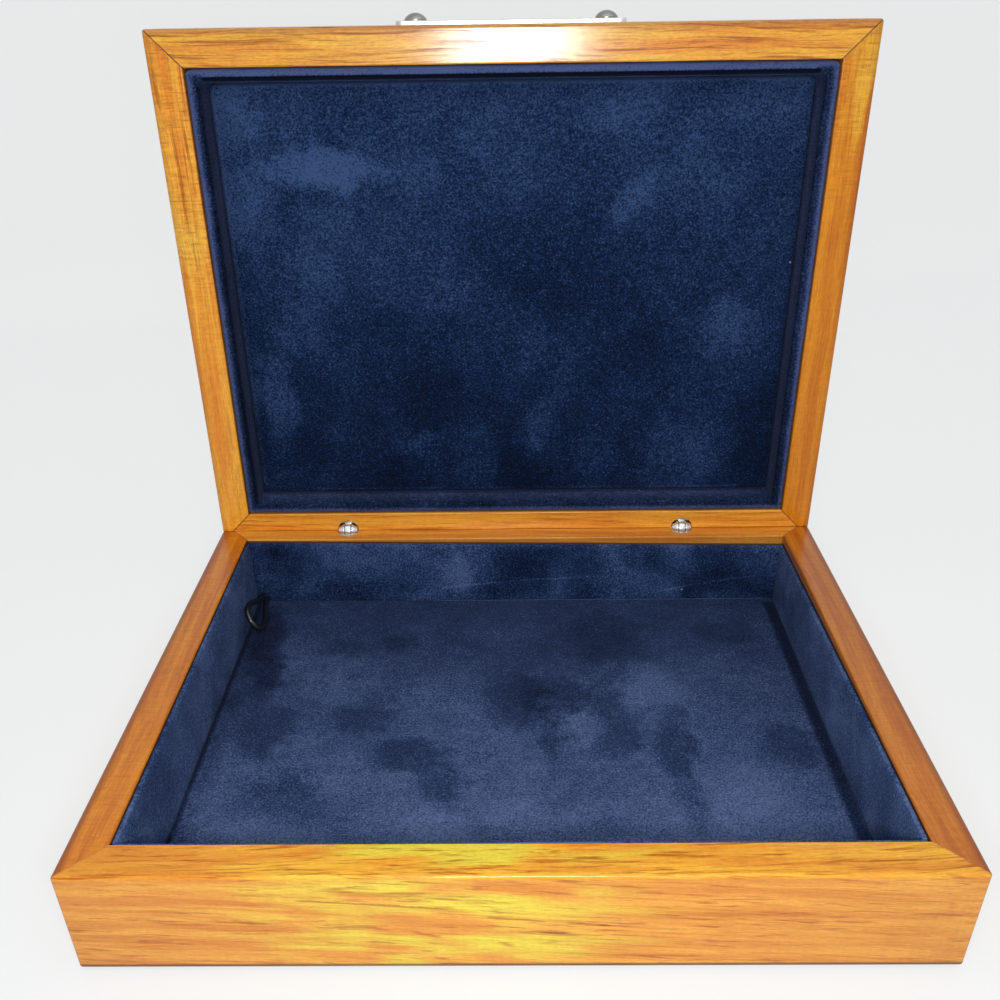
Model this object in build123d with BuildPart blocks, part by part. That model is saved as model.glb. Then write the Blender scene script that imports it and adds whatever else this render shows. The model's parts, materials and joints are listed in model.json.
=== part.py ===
from build123d import *
from math import cos, radians, sin, sqrt, tan
import os

os.makedirs("parts", exist_ok=True)

# A lined wooden display box with a hinged lid, standing open. Sizes are in millimetres.
# Origin: centre of the underside. +X is to the right, +Y to the hinge side, +Z up.

# The case
box_width = 229.0  # outside, left to right
box_depth = 178.0  # outside, front to back
base_height = 34.5  # from the table to the hinge plane, where the two rims meet
lid_height = 17.0  # from the hinge plane to the lid's outer face
wall = 11.0  # thickness of the rails
rim_gap = 0.2  # between the two rims when the box is closed
edge_round = 1.0  # outside edges of the rails
opening_round = 0.5  # inside edges of the rims
crease_round = 0.3  # the two edges beside the hinge line
panel_thickness = 4.0  # bottom panel and lid panel
rebate_width = 5.0  # how far the panels reach into the rails
panel_clearance = 0.1  # all round a panel in its rebate
felt_thickness = 0.8
felt_inset = 1.5  # from the outside of the rails

# The hinge line
open_angle = 92.0  # how far the lid stands open from closed
hinge_inset = 4.0  # from the back face to the pivot line
hinge_spacing = 130.0  # between the two hinges
stop_gap = 0.2  # between the two angled stop faces when the lid is open

# The barrel hinges
collar_radius = 4.0
collar_drop = 0.5  # from the hinge plane to the collar's face
collar_bottom = 3.5  # from the hinge plane to the seat of the collar
shank_radius = 2.8
shank_length = 8.5
barrel_clearance = 0.1  # round the collar and the shank in the wood
knuckle_radius = 2.8  # in the middle of the hinge, where its domed outline is fullest
knuckle_end_radius = 1.4  # at the hinge's two ends
knuckle_round = 0.3
middle_knuckle = 2.4  # width of the knuckle on the upper barrel
outer_knuckle = 2.4  # width of each knuckle on the lower barrel
knuckle_clearance = 0.1  # between knuckles, side by side
knuckle_relief = 0.15  # round a knuckle in the other barrel
hinge_pin_radius = 0.6
pin_clearance = 0.04  # round the hinge pin

# The lining of the base
board = 1.2  # suede-covered card boards
board_round = 0.4
lining_gap = 0.2  # between a board and the rail behind it
right_lining_gap = 0.3  # the same at the right
left_drop = 1.2  # from the rim to the top of the lining at the left
right_drop = 4.2  # the same at the right, at the back
right_front_drop = 1.0  # the same at the right, at the front
board_clearance = 0.2  # between boards at the corners
floor_board = 1.2
floor_pad = 1.5
floor_pad_round = 0.6
floor_clearance = 0.3  # round the floor board and its pad

# The lining of the lid
strip = 4.0  # thickness of the padded strips
strip_round = 1.7
strip_drop = 0.6  # from the rim to the strips
pad_board = 1.2
lid_pad = 3.8
lid_pad_round = 2.5
lid_pad_clearance = 0.3

# The name plate and its pins
plate_width = 72.0
plate_height = 10.0
plate_thickness = 1.2
plate_corner = 2.0
plate_edge_round = 0.3
pin_inset = 6.0  # from the plate's ends to its pins
pin_head_radius = 3.5
pin_collar = 0.4
pin_dome = 1.8
pin_shank_radius = 1.0
pin_shank_length = 7.0
pin_shank_clearance = 0.05

# The pull loop: a cord that comes out between the floor and the back lining, lies forward
# on the floor, leans up against the left lining and goes back in beside itself
loop_radius = 1.0
loop_points = [  # from the tray's back left corner, at the floor
    (3.8, 0.0, 1.1),
    (3.8, -5.0, 1.1),
    (5.0, -10.6, 1.1),
    (6.1, -16.6, 1.1),
    (6.6, -21.6, 1.3),
    (5.0, -24.6, 3.2),
    (2.6, -24.2, 7.2),
    (1.15, -21.2, 9.6),
    (1.1, -16.0, 8.8),
    (1.15, -10.2, 5.8),
    (1.4, -5.0, 2.2),
    (1.4, 0.0, 2.2),
]

# Places that follow from the sizes
hinge_y = box_depth / 2 - hinge_inset
stop_angle = radians(open_angle / 2)
lid_cos = cos(radians(open_angle))
lid_sin = sin(radians(open_angle))
inner_width = box_width - 2 * wall
inner_depth = box_depth - 2 * wall
base_panel_top = felt_thickness + panel_thickness
floor_top = base_panel_top + floor_board + floor_pad
lid_panel_face = lid_height - panel_thickness
tray_left = -inner_width / 2 + lining_gap + board
tray_right = inner_width / 2 - right_lining_gap - board
tray_back = inner_depth / 2 - lining_gap - board
tray_centre = (tray_left + tray_right) / 2

# Each half has a plane in its rim, its y axis towards the hinge and its z axis into the wood.
# The lid's plane is turned about the pivot line to the open position.
base_plane = Plane(origin=(0, 0, base_height), x_dir=(-1, 0, 0), z_dir=(0, 0, -1))
lid_plane = Plane(
    origin=(0, hinge_y - hinge_y * lid_cos, base_height + hinge_y * lid_sin),
    x_dir=(1, 0, 0),
    z_dir=(0, lid_sin, lid_cos),
)


def at(plane, x, y, z):
    """A point of one half: x to the box's right, y towards the hinge, z into the wood."""
    return plane.from_local_coords((x * plane.x_dir.X, y, z))


def stop_plane(plane):
    """The angled stop face along the back edge of one half; its normal points out of the wood."""
    return Plane(
        origin=at(plane, 0, hinge_y, stop_gap / 2 / cos(stop_angle)),
        x_dir=plane.x_dir,
        z_dir=plane.y_dir * sin(stop_angle) - plane.z_dir * cos(stop_angle),
    )


def hinge_plane(plane, x):
    """Where a barrel goes: origin on the pivot line, z axis into the wood."""
    return Plane(origin=at(plane, x, hinge_y, 0), x_dir=plane.x_dir, z_dir=plane.z_dir)


def save(piece, name):
    piece.part.label = name
    export_step(piece.part, f"parts/{name}.step")


# The rails: one rounded ring for each half, cut into four at the mitres.

hinge_places = {"left": -hinge_spacing / 2, "right": hinge_spacing / 2}
pin_places = {"left": pin_inset - plate_width / 2, "right": plate_width / 2 - pin_inset}
mitre_reach = 2 * wall  # how far inward the mitre cuts run
rail_outlines = {
    "front": [
        (-box_width / 2, -box_depth / 2),
        (box_width / 2, -box_depth / 2),
        (box_width / 2 - mitre_reach, -box_depth / 2 + mitre_reach),
        (-box_width / 2 + mitre_reach, -box_depth / 2 + mitre_reach),
    ],
    "back": [
        (-box_width / 2, box_depth / 2),
        (box_width / 2, box_depth / 2),
        (box_width / 2 - mitre_reach, box_depth / 2 - mitre_reach),
        (-box_width / 2 + mitre_reach, box_depth / 2 - mitre_reach),
    ],
    "left": [
        (-box_width / 2, -box_depth / 2),
        (-box_width / 2, box_depth / 2),
        (-box_width / 2 + mitre_reach, box_depth / 2 - mitre_reach),
        (-box_width / 2 + mitre_reach, -box_depth / 2 + mitre_reach),
    ],
    "right": [
        (box_width / 2, -box_depth / 2),
        (box_width / 2, box_depth / 2),
        (box_width / 2 - mitre_reach, box_depth / 2 - mitre_reach),
        (box_width / 2 - mitre_reach, -box_depth / 2 + mitre_reach),
    ],
}

plate_plane = Plane(
    origin=at(lid_plane, 0, -box_depth / 2, lid_height / 2),
    x_dir=lid_plane.x_dir,
    z_dir=-lid_plane.y_dir,
)

for half, plane, height in (
    ("base", base_plane, base_height - felt_thickness),
    ("lid", lid_plane, lid_height),
):
    with BuildPart() as ring:
        with BuildSketch(plane.offset(rim_gap / 2)):
            Rectangle(box_width, box_depth)
        extrude(amount=height - rim_gap / 2)
        fillet(ring.edges(), edge_round)
        with BuildSketch(plane):
            Rectangle(inner_width, inner_depth)
        extrude(amount=height, mode=Mode.SUBTRACT)
        rim = ring.faces().filter_by(plane).sort_by(Axis(plane.origin, plane.z_dir))[0]
        fillet(rim.inner_wires()[0].edges(), opening_round)
        with BuildSketch(plane.offset(height - panel_thickness)):
            Rectangle(inner_width + 2 * rebate_width, inner_depth + 2 * rebate_width)
        extrude(amount=panel_thickness, mode=Mode.SUBTRACT)
        split(bisect_by=stop_plane(plane), keep=Keep.BOTTOM)
        crease = ring.edges().filter_by(Axis.X).sort_by_distance(at(plane, 0, hinge_y, 0))[0]
        fillet(crease, crease_round)
        for x in hinge_places.values():
            with BuildSketch(hinge_plane(plane, x)):
                Circle(collar_radius + barrel_clearance)
            extrude(amount=collar_bottom, mode=Mode.SUBTRACT)
            with BuildSketch(hinge_plane(plane, x).offset(collar_bottom)):
                Circle(shank_radius + barrel_clearance)
            extrude(amount=shank_length + barrel_clearance, mode=Mode.SUBTRACT)
        if half == "lid":
            with BuildSketch(plate_plane):
                with Locations(*[(x, 0) for x in pin_places.values()]):
                    Circle(pin_shank_radius + pin_shank_clearance)
            extrude(amount=-pin_shank_length, mode=Mode.SUBTRACT)

    for side, outline in rail_outlines.items():
        with BuildPart() as rail:
            add(ring.part)
            with BuildSketch(plane):
                with BuildLine():
                    Polyline(*[(x * plane.x_dir.X, y) for x, y in outline], close=True)
                make_face()
            extrude(amount=height, mode=Mode.INTERSECT)
        save(rail, f"{half}_{side}_rail")

    with BuildPart() as panel:
        with BuildSketch(plane.offset(height - panel_thickness)):
            Rectangle(
                inner_width + 2 * (rebate_width - panel_clearance),
                inner_depth + 2 * (rebate_width - panel_clearance),
            )
        extrude(amount=panel_thickness)
    save(panel, "base_bottom_panel" if half == "base" else "lid_top_panel")

with BuildPart() as felt:
    with BuildSketch():
        Rectangle(box_width - 2 * felt_inset, box_depth - 2 * felt_inset)
    extrude(amount=felt_thickness)
    fillet(felt.edges().filter_by(Axis.Z), edge_round)
save(felt, "base_underside_felt")

# The barrel hinges. The upper barrel has the middle knuckle, the lower one the two outside it.

middle_reach = middle_knuckle / 2
outer_start = middle_reach + knuckle_clearance
outer_end = outer_start + outer_knuckle
middle_spans = [(-middle_reach, middle_reach)]
outer_spans = [(-outer_end, -outer_start), (outer_start, outer_end)]
end_drop = knuckle_radius - knuckle_end_radius
dome_radius = (outer_end**2 + end_drop**2) / (2 * end_drop)


def knuckle_height(x):
    """Radius of the domed knuckles at x along the pin, from the middle of the hinge."""
    return knuckle_radius - dome_radius + sqrt(dome_radius**2 - x**2)


def pivot_slice(seat, start):
    """A plane across the pivot line, start away from the hinge's middle, facing along the pin."""
    return Plane(
        origin=seat.from_local_coords((start, 0, 0)), x_dir=seat.y_dir, z_dir=seat.x_dir
    )


for half, plane, own_spans, other_spans in (
    ("lower", base_plane, outer_spans, middle_spans),
    ("upper", lid_plane, middle_spans, outer_spans),
):
    for side, x in hinge_places.items():
        seat = hinge_plane(plane, x)
        with BuildPart() as barrel:
            with BuildSketch(seat.offset(collar_drop)):
                Circle(collar_radius)
            extrude(amount=collar_bottom - collar_drop)
            with BuildSketch(seat.offset(collar_bottom)):
                Circle(shank_radius)
            extrude(amount=shank_length)
            split(bisect_by=stop_plane(plane), keep=Keep.BOTTOM)
            for start, end in other_spans:
                with BuildSketch(pivot_slice(seat, start - knuckle_clearance)):
                    Circle(knuckle_radius + knuckle_relief)
                extrude(amount=end - start + 2 * knuckle_clearance, mode=Mode.SUBTRACT)
            for start, end in own_spans:
                middle = (start + end) / 2
                with BuildSketch(Plane(seat.origin, seat.x_dir, seat.y_dir)) as profile:
                    with BuildLine():
                        Polyline(
                            (end, knuckle_height(end)),
                            (end, 0),
                            (start, 0),
                            (start, knuckle_height(start)),
                        )
                        ThreePointArc(
                            (start, knuckle_height(start)),
                            (middle, knuckle_height(middle)),
                            (end, knuckle_height(end)),
                        )
                    make_face()
                    fillet(profile.vertices().group_by(Axis.Y)[1:], knuckle_round)
                revolve(axis=Axis(seat.origin, seat.x_dir))
            with BuildSketch(pivot_slice(seat, -outer_end)):
                Circle(hinge_pin_radius + pin_clearance)
            extrude(amount=2 * outer_end, mode=Mode.SUBTRACT)
        save(barrel, f"hinge_{half}_barrel_{side}")

for side, x in hinge_places.items():
    with BuildPart() as hinge_pin:
        with BuildSketch(pivot_slice(hinge_plane(base_plane, x), -outer_end)):
            Circle(hinge_pin_radius)
        extrude(amount=2 * outer_end)
    save(hinge_pin, f"hinge_pin_{side}")

# The lining of the base: four boards inside the rails, and the floor between them.

lining_length = inner_width - 2 * lining_gap
side_length = inner_depth - 2 * (lining_gap + board + board_clearance)
tray_depth = 2 * tray_back
left_top = base_height - left_drop
right_top = base_height - right_drop
right_front_top = base_height - right_front_drop

for side, face, right_end in (("front", -tray_back - board, right_front_top), ("back", tray_back, right_top)):
    with BuildPart() as lining:
        with BuildSketch(Plane(origin=(0, face, 0), x_dir=(-1, 0, 0), z_dir=(0, 1, 0))):
            with BuildLine():
                Polyline(
                    (lining_length / 2, base_panel_top),
                    (lining_length / 2, left_top),
                    (-lining_length / 2, right_end),
                    (-lining_length / 2, base_panel_top),
                    close=True,
                )
            make_face()
        extrude(amount=board)
        fillet(lining.faces().sort_by(Axis.Z)[-1].edges().filter_by(GeomType.LINE), board_round)
    save(lining, f"base_lining_{side}")

for side, face, front_top, back_top in (
    ("left", tray_left - board, left_top, left_top),
    ("right", tray_right, right_front_top, right_top),
):
    with BuildPart() as lining:
        with BuildSketch(Plane(origin=(face, 0, 0), x_dir=(0, 1, 0), z_dir=(1, 0, 0))):
            with BuildLine():
                Polyline(
                    (-side_length / 2, base_panel_top),
                    (side_length / 2, base_panel_top),
                    (side_length / 2, back_top),
                    (-side_length / 2, front_top),
                    close=True,
                )
            make_face()
        extrude(amount=board)
        fillet(lining.faces().sort_by(Axis.Z)[-1].edges().sort_by(SortBy.LENGTH)[-2:], board_round)
    save(lining, f"base_lining_{side}")

for name, bottom, thickness in (
    ("base_floor_board", base_panel_top, floor_board),
    ("base_floor_pad", base_panel_top + floor_board, floor_pad),
):
    with BuildPart() as layer:
        with BuildSketch(Plane.XY.offset(bottom)):
            with Locations((tray_centre, 0)):
                Rectangle(
                    tray_right - tray_left - 2 * floor_clearance,
                    tray_depth - 2 * floor_clearance,
                )
        extrude(amount=thickness)
        if name == "base_floor_pad":
            fillet(layer.faces().sort_by(Axis.Z)[-1].edges(), floor_pad_round)
    save(layer, name)

with BuildPart() as pull_loop:
    corner = Vector(tray_left, tray_back, floor_top)
    route_points = [corner + Vector(point) for point in loop_points]
    bends = []
    for before, here, after in zip(route_points, route_points[1:], route_points[2:]):
        shorter_run = min((here - before).length, (after - here).length)
        half_turn = radians((here - before).get_angle(after - here) / 2)
        bends.append(0.45 * shorter_run / tan(half_turn))
    with BuildLine() as route:
        FilletPolyline(*route_points, radius=bends)
    with BuildSketch(Plane(origin=route.line @ 0, z_dir=route.line % 0)):
        Circle(loop_radius)
    sweep(path=route.line)
save(pull_loop, "pull_loop")
print("pull loop radii", [round(bend, 1) for bend in bends], "length", round(route.wire().length, 1))

# The lining of the lid: padded strips inside the rails, and the padded panel between them.

strip_height = lid_panel_face - strip_drop
strip_length = inner_width - 2 * lining_gap
side_strip_length = inner_depth - 2 * (lining_gap + strip + board_clearance)
strip_x = inner_width / 2 - lining_gap - strip / 2
strip_y = inner_depth / 2 - lining_gap - strip / 2

for side, x, y, width, depth, along in (
    ("front", 0, -strip_y, strip_length, strip, lid_plane.x_dir),
    ("back", 0, strip_y, strip_length, strip, lid_plane.x_dir),
    ("left", -strip_x, 0, strip, side_strip_length, lid_plane.y_dir),
    ("right", strip_x, 0, strip, side_strip_length, lid_plane.y_dir),
):
    with BuildPart() as padding:
        with BuildSketch(lid_plane.offset(strip_drop)):
            with Locations((x, y)):
                Rectangle(width, depth)
        extrude(amount=strip_height)
        front_face = padding.faces().sort_by(Axis(lid_plane.origin, lid_plane.z_dir))[0]
        fillet(front_face.edges().filter_by(Axis((0, 0, 0), along)), strip_round)
    save(padding, f"lid_lining_{side}")

pad_width = 2 * (strip_x - strip / 2 - lid_pad_clearance)
pad_depth = 2 * (strip_y - strip / 2 - lid_pad_clearance)

for name, face, thickness in (
    ("lid_pad_board", lid_panel_face - pad_board, pad_board),
    ("lid_pad", lid_panel_face - pad_board - lid_pad, lid_pad),
):
    with BuildPart() as layer:
        with BuildSketch(lid_plane.offset(face)):
            Rectangle(pad_width, pad_depth)
        extrude(amount=thickness)
        if name == "lid_pad":
            pad_face = layer.faces().sort_by(Axis(lid_plane.origin, lid_plane.z_dir))[0]
            fillet(pad_face.edges(), lid_pad_round)
    save(layer, name)

# The name plate on the lid's front rail, held by two dome-headed pins.

with BuildPart() as name_plate:
    with BuildSketch(plate_plane):
        RectangleRounded(plate_width, plate_height, plate_corner)
    extrude(amount=plate_thickness)
    outer_face = name_plate.faces().sort_by(Axis(plate_plane.origin, plate_plane.z_dir))[-1]
    fillet(outer_face.edges(), plate_edge_round)
    with BuildSketch(plate_plane):
        with Locations(*[(x, 0) for x in pin_places.values()]):
            Circle(pin_shank_radius + pin_shank_clearance)
    extrude(amount=plate_thickness, mode=Mode.SUBTRACT)
save(name_plate, "name_plate")

for side, x in pin_places.items():
    with BuildPart() as plate_pin:
        pin_origin = plate_plane.from_local_coords((x, 0, plate_thickness))
        with BuildSketch(Plane(pin_origin, plate_plane.x_dir, -plate_plane.y_dir)):
            with BuildLine():
                foot = -plate_thickness - pin_shank_length + pin_shank_clearance
                crown = pin_collar + pin_dome
                outline = Polyline(
                    (0, crown),
                    (0, foot),
                    (pin_shank_radius, foot),
                    (pin_shank_radius, 0),
                    (pin_head_radius, 0),
                    (pin_head_radius, pin_collar),
                )
                crown_radius = (pin_head_radius**2 + pin_dome**2) / (2 * pin_dome)
                RadiusArc(outline @ 1, outline @ 0, -crown_radius)
            make_face()
        revolve(axis=Axis(pin_origin, plate_plane.z_dir))
    save(plate_pin, f"plate_pin_{side}")
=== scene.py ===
import json
from math import cos, radians, sin, sqrt

import bmesh
import bpy
from mathutils import Matrix, Vector


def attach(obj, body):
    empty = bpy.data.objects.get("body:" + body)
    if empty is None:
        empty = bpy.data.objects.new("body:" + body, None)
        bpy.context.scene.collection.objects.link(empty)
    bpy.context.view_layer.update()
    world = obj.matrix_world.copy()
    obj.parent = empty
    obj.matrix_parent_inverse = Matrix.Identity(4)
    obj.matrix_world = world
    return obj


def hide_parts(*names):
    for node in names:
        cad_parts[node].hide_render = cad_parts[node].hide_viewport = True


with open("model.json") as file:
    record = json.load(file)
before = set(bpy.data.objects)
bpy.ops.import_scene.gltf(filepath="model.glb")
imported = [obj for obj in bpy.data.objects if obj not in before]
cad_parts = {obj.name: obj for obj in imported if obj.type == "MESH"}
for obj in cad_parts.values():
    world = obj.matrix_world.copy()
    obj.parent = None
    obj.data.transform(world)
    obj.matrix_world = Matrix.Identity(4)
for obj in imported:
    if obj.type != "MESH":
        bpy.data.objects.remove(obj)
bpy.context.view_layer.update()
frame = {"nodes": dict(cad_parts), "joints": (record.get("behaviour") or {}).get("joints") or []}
print("frame loaded")

# Each half of the box has its own measure: x to the right, y from the middle of the rim towards
# the hinge in the base and away from it in the lid, z out of the rim.
mm = 0.001
lidHinge = frame["joints"][0]
pivot = Vector(lidHinge["pos_m"])
lidTurn = Matrix.Rotation(radians(180 - lidHinge["range_deg"][1]), 4, "X")
halfPlaces = {
    "base": Matrix.Translation((0, 0, pivot.z)),
    "lid": Matrix.Translation(pivot) @ lidTurn @ Matrix.Translation((0, pivot.y, 0)),
}
hair = 0.01  # how far off a point may lie and still be picked
cutSlack = 0.0001  # and how far off a cut, to be part of it
smoothBelow = 50  # edges that turn by fewer degrees are shaded smooth


def halfBox(half, *nodes):
    # the lowest and highest corners of some nodes, in millimetres, in the measure of their half
    back = Matrix.Scale(1 / mm, 4) @ halfPlaces[half].inverted()
    points = [back @ point.co for node in nodes for point in frame["nodes"][node].data.vertices]
    return Vector(map(min, zip(*points))), Vector(map(max, zip(*points)))


boxCorner = halfBox("base", "base_back_rail")[1]  # where the mitre of the back right corner starts
baseFoot = halfBox("base", "base_front_rail")[0].z
railWidth = boxCorner.x - halfBox("base", "base_right_rail")[0].x
lidLinings = ["lid_lining_back", "lid_lining_front", "lid_lining_left", "lid_lining_right"]


# Modelling by hand: what every new piece uses


def startPiece(name, width, height):
    # a flat face in the plane of x and y, open in edit mode
    bpy.ops.object.select_all(action="DESELECT")
    bpy.ops.mesh.primitive_plane_add(size=1)
    piece = bpy.context.object
    piece.name = piece.data.name = name
    bpy.ops.object.mode_set(mode="EDIT")
    bpy.ops.transform.resize(value=(width, height, 1))
    return piece


def pick(piece, kind, test):
    # selects the vertices, edges or faces whose middle passes the test
    bpy.ops.mesh.select_mode(type=kind)
    bpy.ops.mesh.select_all(action="DESELECT")
    mesh = bmesh.from_edit_mesh(piece.data)
    for part in {"VERT": mesh.verts, "EDGE": mesh.edges, "FACE": mesh.faces}[kind]:
        corners = [part] if kind == "VERT" else part.verts
        middle = sum((corner.co for corner in corners), Vector()) / len(corners)
        if test(middle):
            part.select_set(True)
    mesh.select_flush_mode()
    bmesh.update_edit_mesh(piece.data)


def extrudeUp(height):
    bpy.ops.mesh.extrude_region_move(TRANSFORM_OT_translate={"value": (0, 0, height)})


def cutAcross(reach, cell, direction):
    # even cuts through the whole piece, about a cell apart
    count = max(1, round(2 * reach / cell))
    for step in range(1, count):
        bpy.ops.mesh.select_all(action="SELECT")
        place = direction * reach * (2 * step / count - 1)
        bpy.ops.mesh.bisect(plane_co=place, plane_no=direction, threshold=cutSlack)


def closeShape():
    bpy.ops.mesh.select_all(action="SELECT")
    bpy.ops.mesh.normals_make_consistent(inside=False)
    bpy.ops.object.mode_set(mode="OBJECT")


def placePiece(piece, place):
    # its place goes into its mesh, so the object stays at the origin
    piece.matrix_world = place
    bpy.ops.object.transform_apply(location=True, rotation=True, scale=True)
    bpy.ops.object.shade_smooth_by_angle(angle=radians(smoothBelow))


def ruffle(piece, look, test):
    # slow soft waves in the cloth, where the test lets the points move
    texture = bpy.data.textures.new(piece.name, "CLOUDS")
    texture.noise_scale = look["waveSize"]
    texture.noise_depth = 1
    loose = piece.vertex_groups.new(name="loose")
    loose.add([point.index for point in piece.data.vertices if test(point.co)], 1.0, "REPLACE")
    waves = piece.modifiers.new("waves", "DISPLACE")
    waves.texture = texture
    waves.texture_coords = "LOCAL"
    waves.strength = look["wave"]
    waves.vertex_group = "loose"
    bpy.ops.object.modifier_apply(modifier="waves")
    piece.vertex_groups.clear()


def dressPiece(piece, body, material, slot, *nodes):
    piece.data.materials.append(material)
    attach(piece, body)
    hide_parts(*nodes)


# Camera

cameraSettings = {
    "place": (-0.77, -258.7, 224.4),
    "yaw": -0.848,
    "pitch": -30.80,
    "roll": -0.887,
    "lens": 36.14,
    "shiftY": 0.0618,
}


def makeCamera():
    look = cameraSettings
    camera = bpy.data.cameras.new("camera")
    camera.lens = look["lens"]
    camera.sensor_width = 36
    camera.shift_y = look["shiftY"]
    camera.clip_start = 0.01
    holder = bpy.data.objects.new("camera", camera)
    turn = (
        Matrix.Rotation(radians(-look["yaw"]), 4, "Z")
        @ Matrix.Rotation(radians(90 + look["pitch"]), 4, "X")
        @ Matrix.Rotation(radians(look["roll"]), 4, "Z")
    )
    holder.matrix_world = Matrix.Translation(Vector(look["place"]) * mm) @ turn
    bpy.context.scene.collection.objects.link(holder)
    bpy.context.scene.camera = holder


# Shader maths: a Signal wraps one socket, and an expression on Signals adds its Math nodes


def plug(value, slot):
    if isinstance(value, Signal):
        value.tree.links.new(value.socket, slot)
    else:
        slot.default_value = value


class Signal:
    def __init__(self, tree, socket):
        self.tree = tree
        self.socket = socket

    def other(self, output):
        return Signal(self.tree, self.socket.node.outputs[output])

    def math(self, operation, *values):
        node = self.tree.nodes.new("ShaderNodeMath")
        node.operation = operation
        for slot, value in zip(node.inputs, values):
            plug(value, slot)
        return Signal(self.tree, node.outputs[0])

    def __add__(self, other):
        return self.math("ADD", self, other)

    def __radd__(self, other):
        return self.math("ADD", other, self)

    def __sub__(self, other):
        return self.math("SUBTRACT", self, other)

    def __rsub__(self, other):
        return self.math("SUBTRACT", other, self)

    def __mul__(self, other):
        return self.math("MULTIPLY", self, other)

    def __rmul__(self, other):
        return self.math("MULTIPLY", other, self)

    def __abs__(self):
        return self.math("ABSOLUTE", self)


class Finish:
    # one material or world while its nodes are laid out
    def __init__(self, owner):
        self.owner = owner
        owner.use_nodes = True
        self.tree = owner.node_tree
        self.tree.nodes.clear()

    def add(self, kind, settings=None, sockets=None, output=0):
        node = self.tree.nodes.new(kind)
        for key, value in (settings or {}).items():
            if key == "stops":
                fillRamp(node.color_ramp, value)
            else:
                setattr(node, key, value)
        for key, value in (sockets or {}).items():
            plug(value, node.inputs[key])
        return Signal(self.tree, node.outputs[output]) if node.outputs else None

    def vector(self, x, y, z):
        return self.add("ShaderNodeCombineXYZ", None, {"X": x, "Y": y, "Z": z})

    def noise(self, vector, scale=1.0, detail=2.0, roughness=0.5, distortion=0.0):
        sockets = {"Vector": vector, "Scale": scale, "Detail": detail}
        sockets.update({"Roughness": roughness, "Distortion": distortion})
        return self.add("ShaderNodeTexNoise", None, sockets)

    def smooth(self, value, low, high):
        sockets = {"Value": value, "From Min": low, "From Max": high}
        return self.add("ShaderNodeMapRange", {"interpolation_type": "SMOOTHSTEP"}, sockets)

    def mix(self, factor, first, second, blend="MIX"):
        settings = {"data_type": "RGBA", "blend_type": blend, "clamp_factor": True}
        return self.add("ShaderNodeMix", settings, {0: factor, 6: first, 7: second}, 2)

    def bump(self, height, strength, distance):
        sockets = {"Height": height, "Strength": strength, "Distance": distance}
        return self.add("ShaderNodeBump", None, sockets)

    def objectPlace(self):
        return self.add("ShaderNodeTexCoord", output="Object")

    def halfMeasure(self, half):
        # the surface's point in millimetres, in the measure of its half of the box
        back = halfPlaces[half].inverted()
        sockets = {"Vector": self.objectPlace(), "Location": back.to_translation()}
        sockets["Rotation"] = back.to_euler()
        place = self.add("ShaderNodeMapping", None, sockets)
        sockets = {0: place, "Scale": 1 / mm}
        place = self.add("ShaderNodeVectorMath", {"operation": "SCALE"}, sockets)
        x = self.add("ShaderNodeSeparateXYZ", None, {"Vector": place})
        return x, x.other("Y"), x.other("Z")

    def done(self, sockets):
        surface = self.add("ShaderNodeBsdfPrincipled", None, sockets)
        self.add("ShaderNodeOutputMaterial", None, {"Surface": surface})
        return self.owner


def fillRamp(ramp, stops):
    while len(ramp.elements) < len(stops):
        ramp.elements.new(0.5)
    for element, (place, colour) in zip(ramp.elements, stops):
        element.position = place
        element.color = colour


def newFinish(name):
    return Finish(bpy.data.materials.new(name))


def paint(red, green, blue):
    # a colour as it looks on screen, 0 to 255, as the shader's linear colour
    def linear(part):
        part = part / 255
        return part / 12.92 if part <= 0.04045 else ((part + 0.055) / 1.055) ** 2.4

    return (linear(red), linear(green), linear(blue), 1.0)


# Floor, backdrop, room light and lamps

roomSettings = {
    "foldBehind": 0.54,  # from the middle of the box to the fold of the backdrop, in metres
    "turn": 10.0,
    "width": 5.0,
    "front": 2.6,
    "height": 2.4,
    "foldRound": 0.05,
    "colour": (0.85, 0.87, 0.875, 1.0),
    "seenGlow": (0.98, 0.99, 0.99, 1.0),
    "seenShare": 0.65,
    "light": 0.45,  # strength of the sky as a light
    "seenLight": 0.92,  # and as it is seen
    "sky": (0.95, 0.98, 1.0, 1.0),
}

lampSettings = {
    "near": {
        "place": (0.0, -0.272, 0.205),
        "target": (0, 0, 0.06),
        "size": (0.082, 0.04),
        "power": 0.5,
    },
    "overhead": {
        "place": (0.1, -0.25, 1.1),
        "target": (0, 0, 0.05),
        "size": (1.3, 1.1),
        "power": 2.6,
    },
}


def seenRays(finish):
    # 1 for the rays that the camera, a reflection or glass looks along, 0 for light on things
    path = finish.add("ShaderNodeLightPath", output="Is Camera Ray")
    seen = path.math("MAXIMUM", path, path.other("Is Glossy Ray"))
    return path.math("MAXIMUM", seen, path.other("Is Transmission Ray"))


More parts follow.
